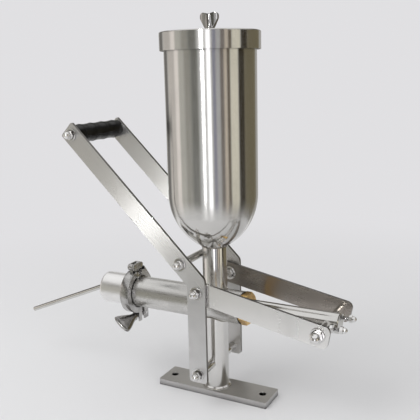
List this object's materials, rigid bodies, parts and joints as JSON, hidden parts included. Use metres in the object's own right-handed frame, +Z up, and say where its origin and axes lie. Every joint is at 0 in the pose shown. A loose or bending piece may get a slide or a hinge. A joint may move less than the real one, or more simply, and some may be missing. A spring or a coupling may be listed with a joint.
{
  "type": "doughnut filling machine, hand-lever piston filler",
  "caption": "Hand-lever filling pump for doughnuts: tall lidded steel hopper on a post, horizontal piston pump with long thin angled nozzle, cranked lever with black grip and link bars.",
  "frame": {"origin": "on the post's axis, at the underside of the base plate", "axes": "+Z up along the post; the pump lies along X with the nozzle at -X and the crossbar at +X; +Y is away from the side the picture shows"},
  "size_m": [0.5995, 0.1554, 0.5837],
  "materials": {
    "brushed_sheet": "fine vertical satin, spun stainless sheet",
    "polished_tube": "polished stainless tube",
    "nozzle_steel": "drawn stainless tube",
    "flat_bar": "satin brushed stainless flat bar",
    "turned_steel": "turned and polished stainless bar",
    "zinc_fasteners": "bright stainless fasteners",
    "cast_steel": "shot-blasted cast stainless, darker grey",
    "brass": "machined brass, lightly worn",
    "black_rubber": "moulded black rubber",
    "white_plastic": "machined white plastic",
    "black_plastic": "glossy black moulded grip"
  },
  "bodies": {
    "stand": {"base_plate": "flat_bar", "post_tube": "polished_tube", "pump_cylinder": "polished_tube", "neck_tube": "polished_tube", "hopper_shell": "brushed_sheet", "gland_washer": "black_rubber", "pivot_pin": "turned_steel", "pivot_bushes": "turned_steel", "pivot_washers": "zinc_fasteners", "pivot_acorn_nuts": "zinc_fasteners", "nozzle_cap": "polished_tube", "nozzle_tube": "nozzle_steel", "ferrule_gasket": "black_rubber", "clamp_rear_half": "cast_steel", "clamp_bolt_pin": "cast_steel", "clamp_hinge_pins": "cast_steel", "clamp_hinge_link": "cast_steel"},
    "lid": {"lid": "brushed_sheet", "lid_stud": "zinc_fasteners"},
    "lid_nut": {"lid_wing_nut": "cast_steel"},
    "clamp_front": {"clamp_front_half": "cast_steel"},
    "clamp_bolt": {"clamp_swing_bolt": "cast_steel"},
    "clamp_nut": {"clamp_wing_nut": "cast_steel"},
    "gland": {"gland_bush": "brass", "rod_seal": "black_rubber"},
    "piston": {"piston_rod": "turned_steel", "piston_head": "white_plastic", "piston_rings": "black_rubber", "piston_nut": "turned_steel", "crossbar": "turned_steel", "crossbar_washers": "zinc_fasteners", "crossbar_acorn_nuts": "zinc_fasteners", "stroke_screw_front": "zinc_fasteners", "stroke_screw_back": "zinc_fasteners", "stroke_lock_nuts": "zinc_fasteners"},
    "links": {"link_bar_front": "flat_bar", "link_bar_back": "flat_bar"},
    "lever": {"lever_plate_front": "flat_bar", "lever_plate_back": "flat_bar", "cross_rod": "turned_steel", "grip_rod": "turned_steel", "link_bolts": "zinc_fasteners", "lever_washers": "zinc_fasteners", "lever_acorn_nuts": "zinc_fasteners"},
    "grip": {"grip": "black_plastic"}
  },
  "joints": [
    {"name": "lever_swing", "type": "hinge", "parent": "stand", "child": "lever", "pos_m": [0, 0, 0.0525], "axis": [0, -1, 0], "range_deg": [0, 34]},
    {"name": "piston_stroke", "type": "slide", "parent": "stand", "child": "piston", "axis": [-1, 0, 0], "range_m": [0, 0.0697]},
    {"name": "link_swing", "type": "hinge", "parent": "piston", "child": "links", "pos_m": [0.1845, 0, 0.1464], "axis": [0, -1, 0], "range_deg": [0, 6.9]},
    {"name": "grip_spin", "type": "hinge", "parent": "lever", "child": "grip", "pos_m": [-0.21503, 0, 0.41055], "axis": [0, 1, 0], "continuous": true},
    {"name": "lid_lift", "type": "slide", "parent": "stand", "child": "lid", "axis": [0, 0, 1], "range_m": [0, 0.12]},
    {"name": "lid_nut_spin", "type": "hinge", "parent": "lid", "child": "lid_nut", "pos_m": [0, 0, 0.57], "axis": [0, 0, 1], "continuous": true},
    {"name": "gland_spin", "type": "hinge", "parent": "stand", "child": "gland", "pos_m": [0.054, 0, 0.1464], "axis": [1, 0, 0], "continuous": true},
    {"name": "clamp_bolt_swing", "type": "hinge", "parent": "stand", "child": "clamp_bolt", "pos_m": [-0.1495, 0.017, 0.1029], "axis": [1, 0, 0], "range_deg": [0, 110]},
    {"name": "clamp_nut_spin", "type": "hinge", "parent": "clamp_bolt", "child": "clamp_nut", "pos_m": [-0.1495, -0.02, 0.1029], "axis": [0, 1, 0], "continuous": true},
    {"name": "clamp_half_open", "type": "hinge", "parent": "stand", "child": "clamp_front", "pos_m": [-0.1495, -0.009, 0.1892], "axis": [-1, 0, 0], "range_deg": [0, 6.6]}
  ],
  "couplings": [
    {"joint": "piston_stroke", "follows": "lever_swing", "m_per_rad": 0.11712},
    {"joint": "link_swing", "follows": "lever_swing", "ratio": 0.20029},
    {"joint": "clamp_half_open", "follows": "clamp_bolt_swing", "ratio": 0.06}
  ]
}
